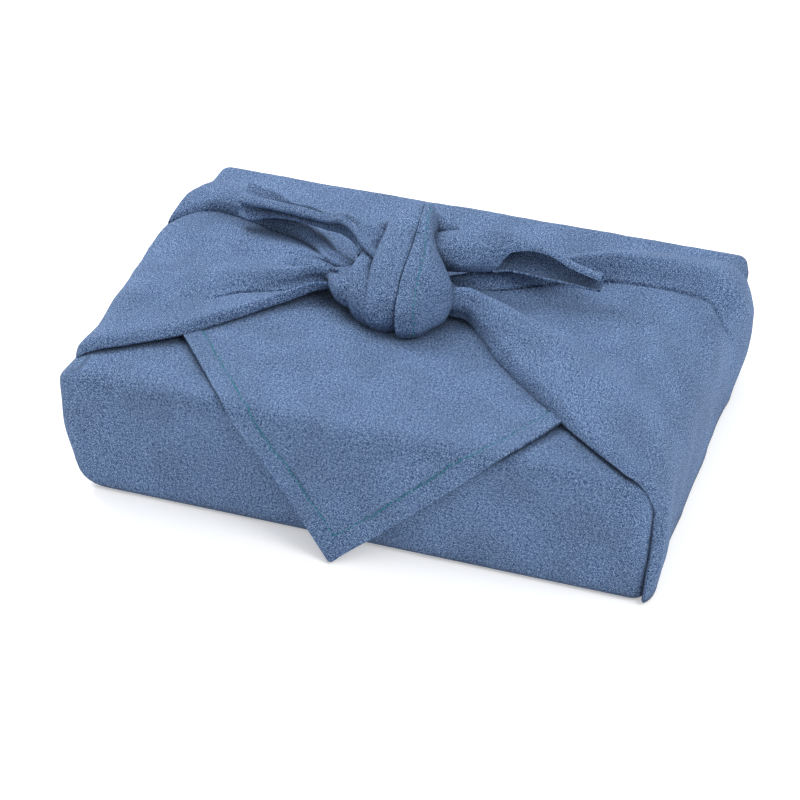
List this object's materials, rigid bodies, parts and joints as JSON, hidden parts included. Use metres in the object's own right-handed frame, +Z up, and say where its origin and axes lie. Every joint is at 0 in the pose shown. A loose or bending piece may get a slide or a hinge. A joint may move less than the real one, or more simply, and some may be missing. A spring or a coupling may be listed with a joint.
{
  "type": "furoshiki wrap",
  "caption": "Square cotton cloth folded round a flat box, two corners gathered into a square knot on top and one corner falling over the front.",
  "frame": {"origin": "middle of the flat base under the wrapped box, on the surface that the wrap stands on", "axes": "+Z up, +X along the wrap's length, -Y the front, over which the loose corner falls"},
  "size_m": [0.3188, 0.2322, 0.1083],
  "materials": {
    "cotton": "matt, soft, slightly crinkled slate-blue cotton weave with a teal hem stitch"
  },
  "bodies": {
    "root": {"cloth": "cotton"}
  },
  "joints": []
}
